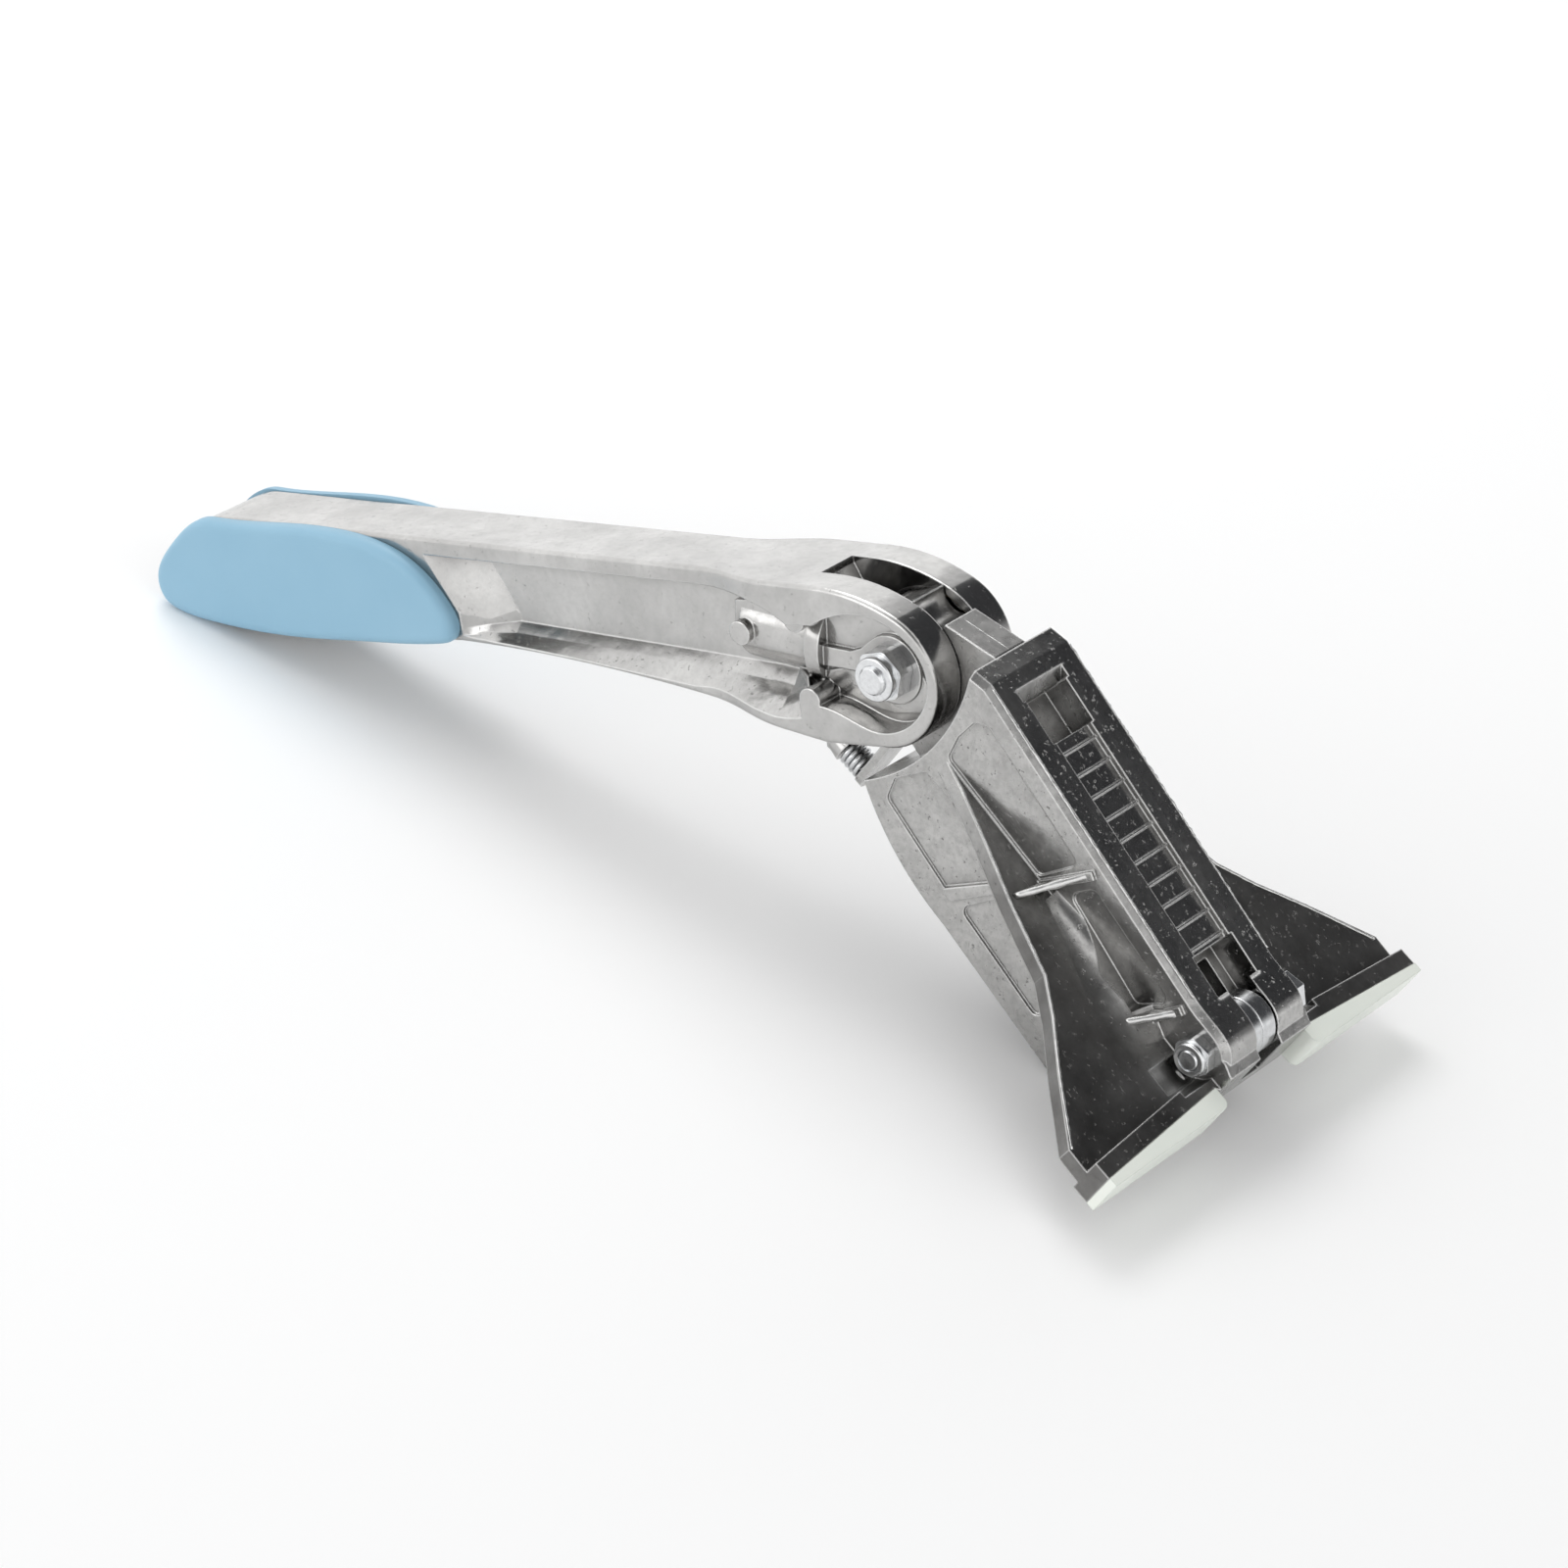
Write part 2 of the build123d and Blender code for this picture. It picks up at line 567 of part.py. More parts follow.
# ---------------------------------------------------------------- grips
grip_thickness, grip_round = 4.6, 3.0
grips = {}
for name, side in (("grip_near", 1), ("grip_far", -1)):
    with BuildPart() as grip:
        with BuildSketch(sided_plane(handle_plane, side, beam_half)):
            with BuildLine():
                Spline(
                    [
                        (-234.0, 23.6), (-207.0, 24.0), (-180.0, 23.2), (-163.4, 18.4),
                        (-154.8, 12.0), (-149.6, 5.4), (-147.4, -0.8), (-148.9, -4.4),
                        (-153.5, -6.0), (-180.0, -7.9), (-210.0, -9.1), (-240.0, -7.4),
                        (-251.5, -5.2), (-257.0, -2.0), (-258.7, 4.0), (-251.6, 14.6),
                    ],
                    periodic=True,
                )
            make_face()
        extrude(amount=side * grip_thickness)
        outer = grip.faces().sort_by(Axis.Y)[0 if side > 0 else -1]
        fillet(outer.edges(), radius=grip_round)
        with BuildSketch(sided_plane(handle_plane, side, beam_half)):
            with Locations(*grip_pins):
                Circle(grip_pin_radius)
        extrude(amount=-side * grip_pin_length)
    grip.part.label = name
    grips[name] = grip

# ---------------------------------------------------------------- pivot hardware
hex_turn = 11.0            # how the upper nut happens to stand
nut_height, nut_collar = 8.0, 2.6
washer_thickness = 1.4
relief_half = slot_half + 0.4


def hexagon(across_flats, rotation=0.0):
    return RegularPolygon(across_flats / 2, 6, major_radius=False, rotation=rotation)


def nyloc_nut(plane_maker, seat, across_flats, height, collar, bore, rotation):
    """Lock nut with its flats chamfered, a plain collar and a seat for its ring."""
    with BuildPart() as nut:
        with BuildSketch(plane_maker(seat)):
            hexagon(across_flats, rotation)
        extrude(amount=height - collar)
        with BuildSketch(plane_maker(seat)):
            Circle(across_flats / 2 * 1.10)
        extrude(amount=height - collar, mode=Mode.INTERSECT)
        with BuildSketch(plane_maker(seat + height - collar)):
            Circle(across_flats / 2 * 0.93)
        extrude(amount=collar)
        top = nut.faces().sort_by(Axis.Y)[0]
        fillet(top.edges(), radius=0.7)
        with BuildSketch(plane_maker(seat)):
            Circle(bore)
        extrude(amount=height + 1, mode=Mode.SUBTRACT)
        with BuildSketch(plane_maker(seat + height - collar)):
            Circle(bore + 1.1)
        extrude(amount=collar - 0.7, mode=Mode.SUBTRACT)
    return nut


def nut_ring(plane_maker, seat, height, collar, bore):
    """Nylon ring held in the nut's collar."""
    with BuildPart() as ring:
        with BuildSketch(plane_maker(seat + height - collar)):
            Circle(bore + 1.1)
            Circle(bore, mode=Mode.SUBTRACT)
        extrude(amount=collar - 0.7)
    return ring


pivot_nut = nyloc_nut(handle_plane, hub_face, 13.0, nut_height, nut_collar, bolt_radius, hex_turn)
pivot_nut.part.label = "pivot_nut"
pivot_nut_ring = nut_ring(handle_plane, hub_face, nut_height, nut_collar, bolt_radius)
pivot_nut_ring.part.label = "pivot_nut_ring"

with BuildPart() as pivot_washer:
    with BuildSketch(handle_plane(-hub_face)):
        Circle(7.6)
        Circle(bolt_radius + 0.1, mode=Mode.SUBTRACT)
    extrude(amount=-washer_thickness)
pivot_washer.part.label = "pivot_washer"

with BuildPart() as pivot_bolt:
    with BuildSketch(handle_plane(-hub_face - washer_thickness)):
        Circle(bolt_radius)
    extrude(amount=2 * hub_face + washer_thickness + nut_height + 1.2)
    chamfer(pivot_bolt.faces().sort_by(Axis.Y)[0].edges(), length=0.7)
    with BuildSketch(handle_plane(-hub_face - washer_thickness)):
        hexagon(13.0, 20.0)
    extrude(amount=-5.3)
    head_top = pivot_bolt.faces().sort_by(Axis.Y)[-1]
    chamfer(head_top.edges(), length=0.5)
pivot_bolt.part.label = "pivot_bolt"

with BuildPart() as pivot_sleeve:
    with BuildSketch(handle_plane()):
        Circle(sleeve_radius)
        Circle(bolt_radius + play, mode=Mode.SUBTRACT)
    extrude(amount=relief_half, both=True)
pivot_sleeve.part.label = "pivot_sleeve"

bushes = {}
for name, side in (("pivot_bush_near", 1), ("pivot_bush_far", -1)):
    with BuildPart() as bush:
        with BuildSketch(sided_plane(body_plane, side, 0.3)):
            Circle(bush_radius)
            Circle(sleeve_radius + play, mode=Mode.SUBTRACT)
        extrude(amount=side * (knuckle_half - 0.3))
        with BuildSketch(sided_plane(body_plane, side, knuckle_half)):
            Circle(10.0)
            Circle(sleeve_radius + play, mode=Mode.SUBTRACT)
        extrude(amount=side * 0.6)
    bush.part.label = name
    bushes[name] = bush

# ---------------------------------------------------------------- fork hardware
def fork_plane(toward_near=0.0):
    """Side plane centred on the fork's axis."""
    return Plane(
        origin=body_point(axis_length, 0, -toward_near),
        x_dir=body_plane().x_dir, z_dir=(0, -1, 0),
    )


fork_nut_height, fork_nut_collar = 4.8, 1.6
fork_sleeve_radius = 4.5
fork_washer_thickness = 1.2
fork_nut = nyloc_nut(fork_plane, body_half, 10.0, fork_nut_height, fork_nut_collar, fork_bolt_radius, 4.0)
fork_nut.part.label = "fork_nut"
fork_nut_ring = nut_ring(fork_plane, body_half, fork_nut_height, fork_nut_collar, fork_bolt_radius)
fork_nut_ring.part.label = "fork_nut_ring"

with BuildPart() as fork_bolt:
    with BuildSketch(fork_plane(-body_half - fork_washer_thickness)):
        Circle(fork_bolt_radius)
    extrude(amount=2 * body_half + fork_washer_thickness + fork_nut_height + 0.2)
    chamfer(fork_bolt.faces().sort_by(Axis.Y)[0].edges(), length=0.6)
    with BuildSketch(fork_plane(-body_half - fork_washer_thickness)):
        hexagon(10.0, 14.0)
    extrude(amount=-4.0)
    chamfer(fork_bolt.faces().sort_by(Axis.Y)[-1].edges(), length=0.4)
fork_bolt.part.label = "fork_bolt"

with BuildPart() as fork_washer:
    with BuildSketch(fork_plane(-body_half)):
        Circle(5.8)
        Circle(fork_bolt_radius + 0.1, mode=Mode.SUBTRACT)
    extrude(amount=-fork_washer_thickness)
fork_washer.part.label = "fork_washer"

spacer_end = 1.7           # the spacer fills the gap from the near lug to here
with BuildPart() as fork_spacer:
    with BuildSketch(fork_plane(spacer_end)):
        Circle(roller_radius)
        Circle(fork_bolt_radius + play, mode=Mode.SUBTRACT)
    extrude(amount=fork_gap_half - spacer_end)
fork_spacer.part.label = "fork_spacer"

with BuildPart() as fork_sleeve:
    with BuildSketch(fork_plane(-fork_gap_half)):
        Circle(fork_sleeve_radius)
        Circle(fork_bolt_radius + play, mode=Mode.SUBTRACT)
    extrude(amount=fork_gap_half + spacer_end)
fork_sleeve.part.label = "fork_sleeve"

with BuildPart() as fork_roller:
    with BuildSketch(fork_plane(0.6 - fork_gap_half)):
        Circle(roller_radius)
        Circle(fork_sleeve_radius + play, mode=Mode.SUBTRACT)
    extrude(amount=fork_gap_half + spacer_end - 0.9)
    circles = fork_roller.edges().filter_by(GeomType.CIRCLE)
    fillet([edge for edge in circles if edge.radius > roller_radius - 0.1], radius=0.4)
fork_roller.part.label = "fork_roller"

# ---------------------------------------------------------------- bumper spring
wire = 0.75
with BuildPart() as bumper_peg:
    with BuildSketch(body_section_plane(spring_seat - peg_depth)):
        with Locations((0, spring_line)):
            Circle(peg_radius)
    extrude(amount=peg_depth + 5.0)
    fillet(bumper_peg.faces().filter_by(GeomType.PLANE).sort_by(Axis.X)[-1].edges(), radius=0.6)
bumper_peg.part.label = "bumper_peg"

spring_length = spring_stop - spring_seat - 2 * wire - 0.1
with BuildPart() as bumper_spring:
    with BuildLine() as coil:
        Helix(
            pitch=spring_length / 3.6, height=spring_length, radius=3.3,
            center=body_point(spring_seat + wire + 0.05, spring_line),
            direction=body_section_plane(0).z_dir,
        )
    with BuildSketch(Plane(origin=coil.line @ 0, z_dir=coil.line % 0)):
        Circle(wire)
    sweep(is_frenet=True)
bumper_spring.part.label = "bumper_spring"

# ---------------------------------------------------------------- detent plunger
nose_reach = track_radius + 0.3
spring_pocket = 5.0        # floor of the plunger's hollow, behind its nose
detent_length = plunger_bore_depth - nose_reach - spring_pocket - 1.8
with BuildPart() as detent_plunger:
    with BuildSketch(boss_start.offset(nose_reach)):
        Circle(plunger_radius)
    extrude(amount=15.0)
    fillet(detent_plunger.faces().filter_by(GeomType.PLANE).sort_by(Axis.X)[-1].edges(), radius=2.6)
    with BuildSketch(boss_start.offset(nose_reach + spring_pocket)):
        Circle(2.9)
    extrude(amount=12.0, mode=Mode.SUBTRACT)
detent_plunger.part.label = "detent_plunger"

with BuildPart() as detent_spring:
    coil_base = boss_start.offset(nose_reach + spring_pocket + 0.6)
    with BuildLine() as detent_coil:
        Helix(
            pitch=2.6, height=detent_length, radius=2.1,
            center=coil_base.origin, direction=coil_base.z_dir,
        )
    with BuildSketch(Plane(origin=detent_coil.line @ 0, z_dir=detent_coil.line % 0)):
        Circle(0.5)
    sweep(is_frenet=True)
detent_spring.part.label = "detent_spring"

pieces = [
    handle_casting, lever_body, *pads.values(), *grips.values(), pivot_bolt, pivot_nut,
    pivot_nut_ring, pivot_washer, pivot_sleeve, *bushes.values(), fork_bolt, fork_nut,
    fork_nut_ring, fork_washer, fork_spacer, fork_sleeve, fork_roller, bumper_peg,
    bumper_spring, detent_plunger, detent_spring,
]
for piece in pieces:
    export_step(piece.part, f"parts/{piece.part.label}.step")
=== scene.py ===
import json
import random
from math import radians, cos

import bpy
from mathutils import Matrix, Vector


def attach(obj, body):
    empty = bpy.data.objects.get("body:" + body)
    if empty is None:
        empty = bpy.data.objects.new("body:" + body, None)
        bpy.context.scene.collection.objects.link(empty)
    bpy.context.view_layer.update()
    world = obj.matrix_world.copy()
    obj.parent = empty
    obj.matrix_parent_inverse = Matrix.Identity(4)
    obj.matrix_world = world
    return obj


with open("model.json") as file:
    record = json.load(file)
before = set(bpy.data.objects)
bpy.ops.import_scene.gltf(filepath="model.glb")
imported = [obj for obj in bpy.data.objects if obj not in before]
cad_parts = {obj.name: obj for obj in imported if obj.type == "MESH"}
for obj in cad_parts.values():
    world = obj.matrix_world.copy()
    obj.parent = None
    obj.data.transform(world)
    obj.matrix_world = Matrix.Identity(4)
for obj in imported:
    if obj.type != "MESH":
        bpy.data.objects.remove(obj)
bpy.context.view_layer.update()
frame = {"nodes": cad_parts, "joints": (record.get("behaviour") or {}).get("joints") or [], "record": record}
nodes = frame["nodes"]
record = frame["record"]
joint_at = {j["name"]: Vector(j["pos_m"]) for j in frame["joints"] if "pos_m" in j}
pivot = joint_at["handle_pivot"]
fork = joint_at["roller_spin"]

MM = 0.001

# ------------------------------------------------------------------ places on the body
# The body's axis runs from the pivot to the fork; its front is square to that.
body_axis = (fork - pivot).normalized()
body_front = Vector((-body_axis.z, 0.0, body_axis.x))


def body_point(along, across, front):
    """A point of the lever body in millimetres: along its axis, across it and to its front."""
    return pivot + MM * (along * body_axis + front * body_front + Vector((0.0, across, 0.0)))


# ------------------------------------------------------------------ node helpers
def new_material(name):
    material = bpy.data.materials.new(name)
    material.use_nodes = True
    tree = material.node_tree
    tree.nodes.clear()
    output = tree.nodes.new("ShaderNodeOutputMaterial")
    shader = tree.nodes.new("ShaderNodeBsdfPrincipled")
    tree.links.new(shader.outputs["BSDF"], output.inputs["Surface"])
    return material, tree, shader


def add(tree, kind, **settings):
    """A node with its settings: sockets by name, and other names as properties."""
    node = tree.nodes.new(kind)
    for key, value in settings.items():
        if hasattr(node, key):
            setattr(node, key, value)
        else:
            node.inputs[key.replace("_", " ")].default_value = value
    return node


def link(tree, source, target):
    tree.links.new(source, target)


def place(tree):
    """Object coordinates, which are the object's own frame in metres."""
    return add(tree, "ShaderNodeTexCoord").outputs["Object"]


def noise(tree, where, scale, detail=3.0, roughness=0.6):
    node = add(tree, "ShaderNodeTexNoise", Scale=scale, Detail=detail, Roughness=roughness)
    link(tree, where, node.inputs["Vector"])
    return node.outputs["Fac"]


def remap(tree, value, low, high, to_low, to_high):
    node = add(tree, "ShaderNodeMapRange")
    for socket, number in zip(("From Min", "From Max", "To Min", "To Max"), (low, high, to_low, to_high)):
        node.inputs[socket].default_value = number
    link(tree, value, node.inputs["Value"])
    return node.outputs["Result"]


def math(tree, operation, first, second):
    node = add(tree, "ShaderNodeMath", operation=operation)
    for socket, value in zip(node.inputs, (first, second)):
        if isinstance(value, (int, float)):
            socket.default_value = value
        else:
            link(tree, value, socket)
    return node.outputs[0]


def mix_colours(tree, fac, first, second):
    node = add(tree, "ShaderNodeMix", data_type="RGBA")
    link(tree, fac, node.inputs["Factor"])
    for socket, value in ((node.inputs[6], first), (node.inputs[7], second)):
        if isinstance(value, tuple):
            socket.default_value = (*value, 1.0)
        else:
            link(tree, value, socket)
    return node.outputs[2]


def bump(tree, height, distance, normal=None):
    node = add(tree, "ShaderNodeBump", Strength=1.0, Distance=distance)
    link(tree, height, node.inputs["Height"])
    if normal is not None:
        link(tree, normal, node.inputs["Normal"])
    return node.outputs["Normal"]


def soft_edges(tree, radius):
    node = add(tree, "ShaderNodeBevel", samples=6, Radius=radius)
    return node.outputs["Normal"]


def darker(colour, share):
    return tuple(share * channel for channel in colour)


# ------------------------------------------------------------------ materials
def cast_metal(name, bright, dark, rough_low, rough_high, pit_depth, mottled, stained=None):
    """Die-cast aluminium: a satin skin with flow marks, grain and small pits, painted shade in its crevices
    and a painted highlight along its edges.
    """
    material, tree, shader = new_material(name)
    where = place(tree)
    flow = noise(tree, where, 55.0, 4.0, 0.6)
    grain = noise(tree, where, 1600.0, 2.0, 0.5)
    mottle = noise(tree, where, 430.0, 4.0, 0.75)
    pits = noise(tree, where, 620.0, 3.0, 0.7)
    pitted = remap(tree, pits, 0.63, 0.71, 0.0, mottled + 0.25)
    flowed = remap(tree, flow, 0.35, 0.65, 0.0, 1.0)
    colour = mix_colours(tree, flowed, bright, darker(bright, 0.82))
    spotted = remap(tree, mottle, 0.42, 0.68, 0.0, mottled)
    colour = mix_colours(tree, spotted, colour, darker(bright, 0.62))
    colour = mix_colours(tree, math(tree, "MULTIPLY", pitted, 0.7), colour, dark)
    # Painted shade: the colour is pulled towards the dark tone where ambient occlusion finds crevices and
    # recesses.
    hidden = add(tree, "ShaderNodeAmbientOcclusion", samples=6, Distance=0.006)
    painted_crevice_shade = remap(tree, hidden.outputs["AO"], 0.35, 0.95, 0.72, 0.0)
    colour = mix_colours(tree, painted_crevice_shade, colour, dark)
    rough = remap(tree, flow, 0.3, 0.7, rough_low, rough_high)
    if stained is not None:
        mask = stained(tree, where)
        cloud = remap(tree, noise(tree, where, 90.0, 4.0, 0.6), 0.3, 0.7, 0.72, 0.98)
        amount = math(tree, "MULTIPLY", mask, cloud)
        colour = mix_colours(tree, amount, colour, dark)
        rough = math(tree, "ADD", rough, math(tree, "MULTIPLY", mask, 0.16))
    rounded = soft_edges(tree, 0.0007)
    # Painted highlight: where the rounded normal turns away from the true normal, at convex and concave
    # edges alike, a near-white line is mixed into the colour.
    turn = add(tree, "ShaderNodeVectorMath", operation="DOT_PRODUCT")
    link(tree, rounded, turn.inputs[0])
    link(tree, add(tree, "ShaderNodeNewGeometry").outputs["Normal"], turn.inputs[1])
    painted_edge_highlight = remap(tree, turn.outputs["Value"], 0.995, 0.93, 0.0, 0.6)
    colour = mix_colours(tree, painted_edge_highlight, colour, (0.92, 0.92, 0.91))
    link(tree, colour, shader.inputs["Base Color"])
    link(tree, rough, shader.inputs["Roughness"])
    shader.inputs["Metallic"].default_value = 1.0
    height = math(tree, "SUBTRACT", math(tree, "MULTIPLY", grain, 0.12), pitted)
    waves = bump(tree, noise(tree, where, 120.0, 2.0, 0.4), 0.00028, rounded)
    link(tree, bump(tree, height, pit_depth, waves), shader.inputs["Normal"])
    return material


def wing_faces(tree, where):
    """1 on the wings and 0 on the box between them."""
    node = add(tree, "ShaderNodeSeparateXYZ")
    link(tree, where, node.inputs[0])
    side = math(tree, "ABSOLUTE", node.outputs["Y"], 0.0)
    return remap(tree, side, 0.0205, 0.0325, 0.0, 1.0)


def plain_metal(name, colour, rough, brushed):
    material, tree, shader = new_material(name)
    where = place(tree)
    fine = noise(tree, where, brushed, 3.0, 0.6)
    worked = remap(tree, fine, 0.35, 0.65, 0.0, 1.0)
    shade = mix_colours(tree, worked, colour, darker(colour, 0.88))
    link(tree, shade, shader.inputs["Base Color"])
    link(tree, remap(tree, fine, 0.3, 0.7, rough - 0.05, rough + 0.07), shader.inputs["Roughness"])
    shader.inputs["Metallic"].default_value = 1.0
    link(tree, bump(tree, fine, 0.00003, soft_edges(tree, 0.0003)), shader.inputs["Normal"])
    return material


def moulded(name, colour, shade, rough, edge):
    """Moulded plastic or rubber with a very fine skin."""
    material, tree, shader = new_material(name)
    where = place(tree)
    cloud = noise(tree, where, 45.0, 3.0, 0.5)
    skin = noise(tree, where, 2600.0, 2.0, 0.5)
    tint = mix_colours(tree, remap(tree, cloud, 0.3, 0.7, 0.0, 1.0), colour, shade)
    link(tree, tint, shader.inputs["Base Color"])
    link(tree, remap(tree, skin, 0.3, 0.7, rough - 0.05, rough + 0.05), shader.inputs["Roughness"])
    link(tree, bump(tree, skin, 0.00003, soft_edges(tree, edge)), shader.inputs["Normal"])
    return material


# A lighter copy of the cast metal for the ridges: a painted highlight on the webs, wing rims and flash
# lines.
painted_highlight_look = cast_metal("cast_painted_highlight_look", (0.82, 0.82, 0.81), (0.30, 0.30, 0.29), 0.14, 0.26, 0.00006, 0.2)
looks = {
    "cast_handle": cast_metal(
        "cast_handle_look", (0.58, 0.575, 0.565), (0.14, 0.135, 0.13), 0.13, 0.24, 0.00006, 0.30
    ),
    "cast_body": cast_metal(
        "cast_body_look", (0.53, 0.525, 0.515), (0.14, 0.137, 0.133), 0.18, 0.32, 0.00011, 0.70, wing_faces
    ),
    "grip": moulded("grip_look", (0.270, 0.470, 0.610), (0.250, 0.448, 0.590), 0.46, 0.0006),
    "pad": moulded("pad_look", (0.83, 0.86, 0.80), (0.79, 0.83, 0.77), 0.36, 0.0005),
    "zinc_steel": plain_metal("zinc_look", (0.78, 0.79, 0.80), 0.20, 900.0),
    "plain_steel": plain_metal("steel_look", (0.70, 0.71, 0.72), 0.22, 500.0),
    "spring_steel": plain_metal("spring_look", (0.66, 0.67, 0.68), 0.26, 700.0),
    "nylon": moulded("nylon_look", (0.30, 0.32, 0.34), (0.25, 0.27, 0.29), 0.40, 0.0002),
    "bush_bronze": plain_metal("bronze_look", (0.62, 0.46, 0.24), 0.34, 600.0),
}
for part in record["subparts"]:
    mesh = nodes[part["node"]].data
    mesh.materials.clear()
    mesh.materials.append(looks[part["material_slot"]])

# ------------------------------------------------------------------ cast ridges
def ridge(name, crest, bases, half_width, wander):
    """A cast web or a line of flash: a rounded crest along a path, standing on its base points, in the
    lighter copy of the cast metal that paints a highlight on it.
    """
    verts, faces = [], []
    for index, (top, base) in enumerate(zip(crest, bases)):
        ahead = crest[min(index + 1, len(crest) - 1)] - crest[max(index - 1, 0)]
        rise = (top - base).normalized()
        side = ahead.cross(rise).normalized()
        lift = wander * draw.uniform(-1.0, 1.0) * rise + 0.5 * wander * draw.uniform(-1.0, 1.0) * side
        half = half_width * draw.uniform(0.8, 1.15)
        ring = [base - half * side, top - half * side]
        ring += [top + half * (0.7 * sign * side + 0.7 * rise) + lift for sign in (-1, 0, 1)]
        ring += [top + half * side, base + half * side]
        verts += ring
    count = 7
    for row in range(len(crest) - 1):
        for k in range(count):
            a, b = row * count + k, row * count + (k + 1) % count
            faces.append((a, b, b + count, a + count))
    faces.append(tuple(reversed(range(count))))
    faces.append(tuple(range(len(verts) - count, len(verts))))
    mesh = bpy.data.meshes.new(name)
    mesh.from_pydata([tuple(v) for v in verts], [], faces)
    for polygon in mesh.polygons:
        polygon.use_smooth = True
    mesh.materials.append(painted_highlight_look)
    piece = bpy.data.objects.new(name, mesh)
    bpy.context.scene.collection.objects.link(piece)
    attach(piece, "lever")
    return piece


def path_between(corners, step):
    """Points along a broken line of body coordinates, about a step apart, in millimetres."""
    points = []
    for start, end in zip(corners[:-1], corners[1:]):
        start, end = Vector(start), Vector(end)
        parts = max(1, round((end - start).length / step))
        points += [start.lerp(end, part / parts) for part in range(parts)]
    return points + [Vector(corners[-1])]


draw = random.Random(7)
body_side = 18.4
wing_top, wing_lean = 0.9, 0.0699
wing_rim = [
    (23.5, 17.0), (36.0, 20.6), (50.0, 25.6), (68.0, 32.6), (88.0, 39.0),
    (98.0, 46.2), (111.0, 57.4), (127.6, 70.1),
]
gussets = {
    "upper": ((76.2, 18.2, 13.2), (66.9, 29.6, -1.9), (68.4, 18.0, -2.4)),
    "lower": ((116.7, 18.2, 4.9), (109.0, 26.0, -4.9), (109.6, 18.0, -5.4)),
}
for side, word in ((-1, "near"), (1, "far")):
    for level, ends in gussets.items():
        high, low, foot = (Vector((u, side * y, v)) for u, y, v in ends)
        crest = [body_point(*high.lerp(low, part / 12)) for part in range(13)]
        ridge(f"gusset_{level}_{word}", crest, [body_point(*foot)] * 13, 1.0 * MM, 0.12 * MM)
    # rim of the wing, in the lighter copy of the cast metal: a painted highlight
    rim = [(u, side * (y - 0.5), wing_top - (u - 27.0) * wing_lean) for u, y in wing_rim]
    line = path_between(rim, 1.2)
    crest = [body_point(*point) for point in line]
    base = [body_point(point.x, point.y, point.z - 0.4) for point in line]
    ridge(f"wing_rim_{word}", crest, base, 0.42 * MM, 0.10 * MM)
    # flash left along the front edge of the box
    edge = side * (body_side - 1.5)
    front = path_between([(25.0, edge, 27.4), (116.0, edge, 9.75)], 0.9)
    crest = [body_point(*point) for point in front]
    base = [body_point(point.x - 0.06, point.y, point.z - 0.3) for point in front]
    ridge(f"front_flash_{word}", crest, base, 0.30 * MM, 0.22 * MM)
# parting line over the neck
line = path_between([(4.0, 0.0, 20.85), (17.6, 0.0, 25.45)], 1.0)
ridge(
    "neck_parting", [body_point(*point) for point in line],
    [body_point(point.x, point.y, point.z - 0.3) for point in line], 0.16 * MM, 0.03 * MM,
)

# ------------------------------------------------------------------ floor and light
floor_size = 8.0
bpy.ops.mesh.primitive_plane_add(size=floor_size, location=(0, 0, 0))
floor = bpy.context.object
floor.name = "floor"
floor_look, tree, shader = new_material("floor_look")
shader.inputs["Base Color"].default_value = (0.96, 0.96, 0.96, 1.0)
shader.inputs["Roughness"].default_value = 0.6
shader.inputs["Specular IOR Level"].default_value = 0.2
floor.data.materials.append(floor_look)

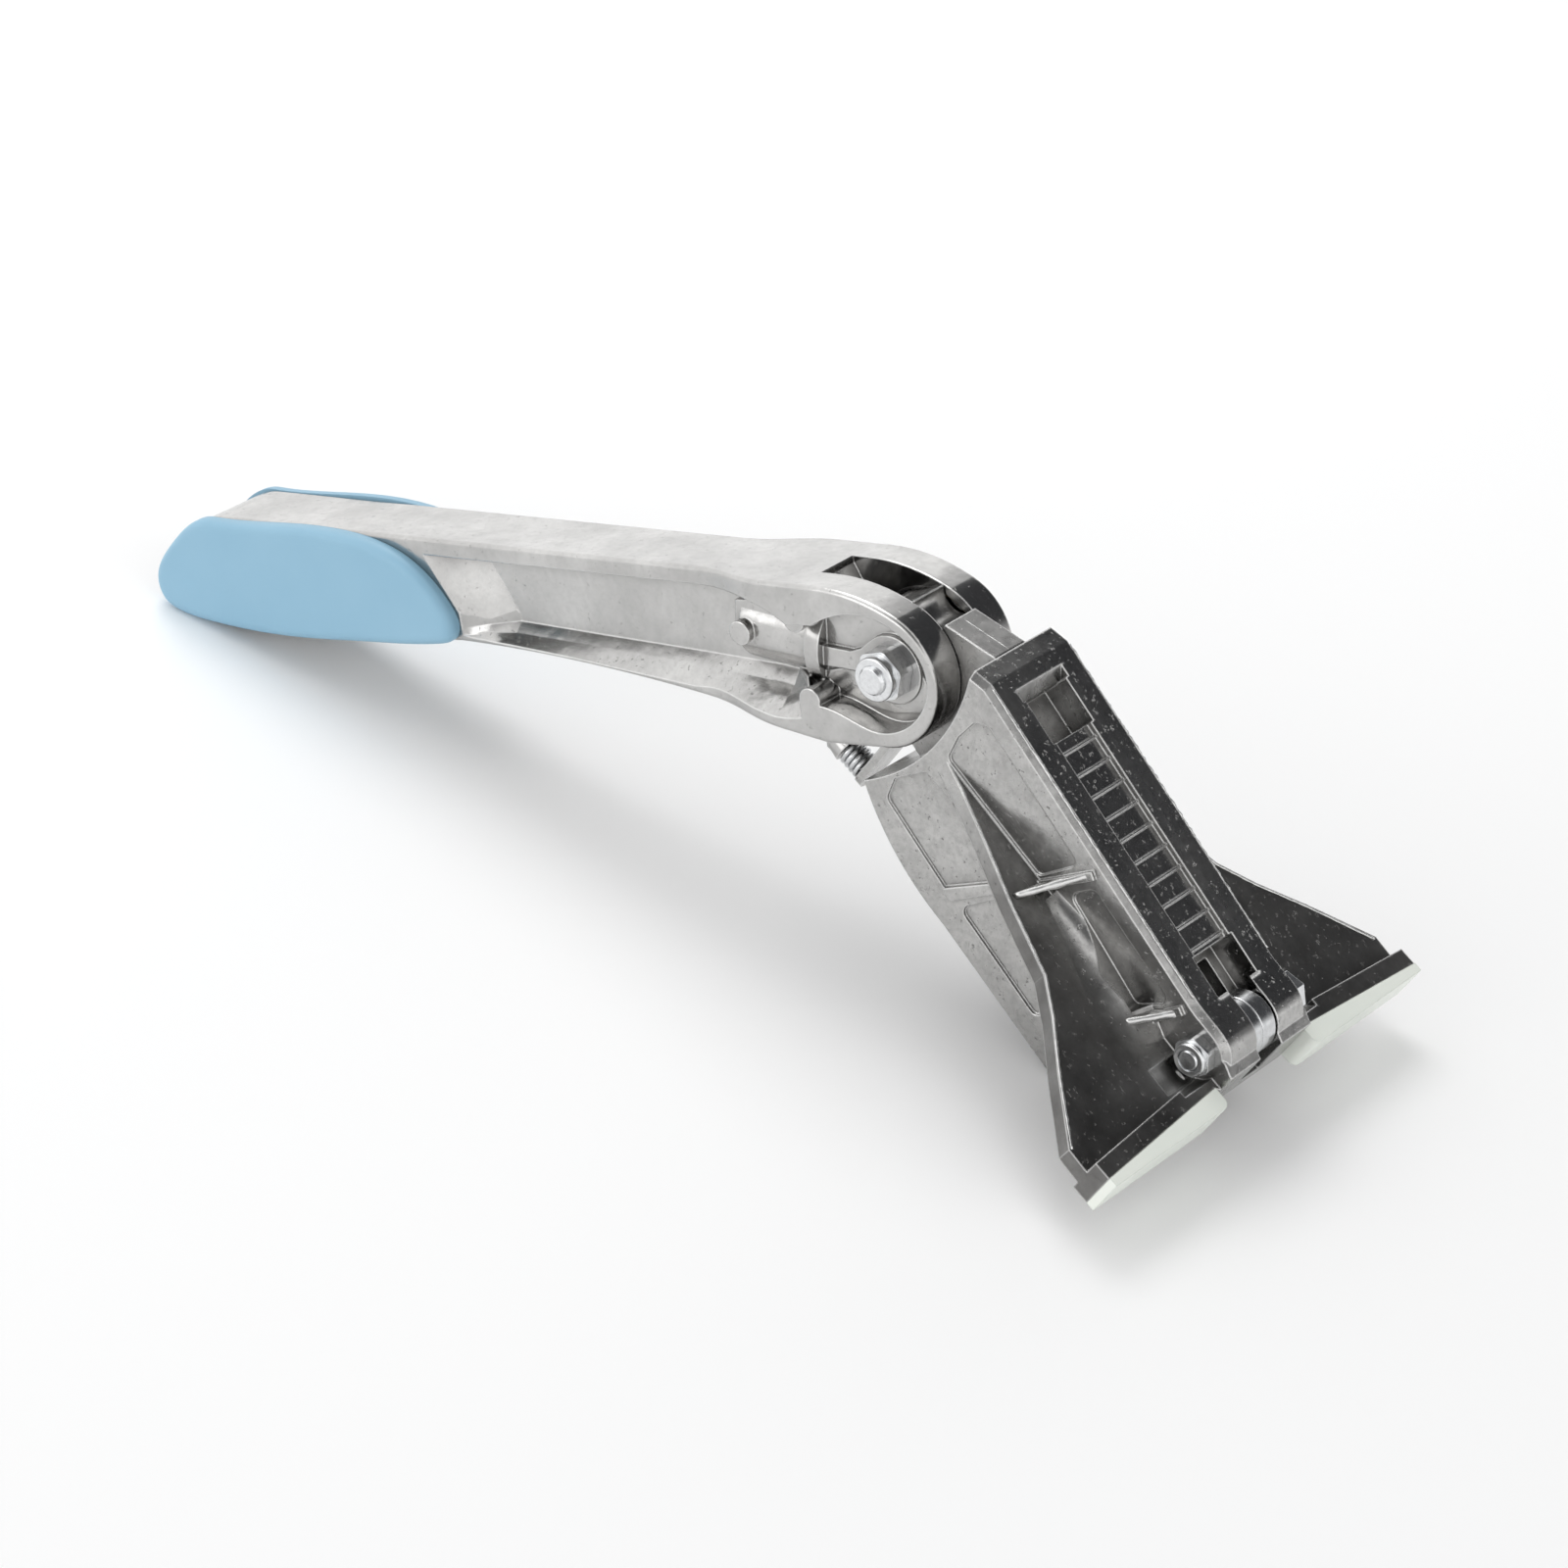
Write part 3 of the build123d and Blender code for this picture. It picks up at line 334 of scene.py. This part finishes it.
# The room is white, with dark flags up behind the object and above its front.
flags = [
    (Vector((0.27, 0.70, 0.64)).normalized(), 44.0, 27.0, 0.97),
    (Vector((0.10, -0.56, 0.82)).normalized(), 34.0, 14.0, 0.86),
]
world = bpy.data.worlds.new("room")
bpy.context.scene.world = world
world.use_nodes = True
tree = world.node_tree
tree.nodes.clear()
sky = add(tree, "ShaderNodeTexCoord").outputs["Generated"]
colour = (1.0, 1.0, 1.0)
for direction, outer, inner, depth in flags:
    aim = add(tree, "ShaderNodeVectorMath", operation="DOT_PRODUCT")
    link(tree, sky, aim.inputs[0])
    aim.inputs[1].default_value = direction
    dark = remap(tree, aim.outputs["Value"], cos(radians(outer)), cos(radians(inner)), 0.0, depth)
    colour = mix_colours(tree, dark, colour, (0.012, 0.013, 0.016))
background = add(tree, "ShaderNodeBackground", Strength=1.26)
link(tree, colour, background.inputs["Color"])
link(tree, background.outputs[0], add(tree, "ShaderNodeOutputWorld").inputs["Surface"])


def area_light(name, location, target, size, power):
    data = bpy.data.lights.new(name, "AREA")
    data.shape = "DISK"
    data.size = size
    data.energy = power
    light = bpy.data.objects.new(name, data)
    bpy.context.scene.collection.objects.link(light)
    light.location = location
    light.rotation_euler = (Vector(target) - Vector(location)).to_track_quat("-Z", "Y").to_euler()
    return light


middle = (0.0, 0.0, 0.05)
area_light("key", (-0.7, 0.5, 1.3), middle, 0.9, 6.0)
area_light("fill", (-0.6, -1.3, 0.5), middle, 0.8, 2.0)

# ------------------------------------------------------------------ camera
camera_from_pivot = Vector((683.3, -1078.0, 732.9)) * MM
view_right = Vector((0.78480, 0.60859, 0.11708))
view_down = Vector((0.39963, -0.35257, -0.84616))
view_forward = Vector((-0.47369, 0.71085, -0.51991))
camera_data = bpy.data.cameras.new("camera")
camera_data.sensor_width = 36.0
camera_data.lens = 130.86
camera_data.clip_start = 0.05
camera = bpy.data.objects.new("camera", camera_data)
bpy.context.scene.collection.objects.link(camera)
turn = Matrix((view_right, -view_down, -view_forward)).transposed()
camera.matrix_world = Matrix.Translation(pivot + camera_from_pivot) @ turn.to_4x4()
bpy.context.scene.camera = camera
bpy.context.scene.view_settings.view_transform = "Standard"
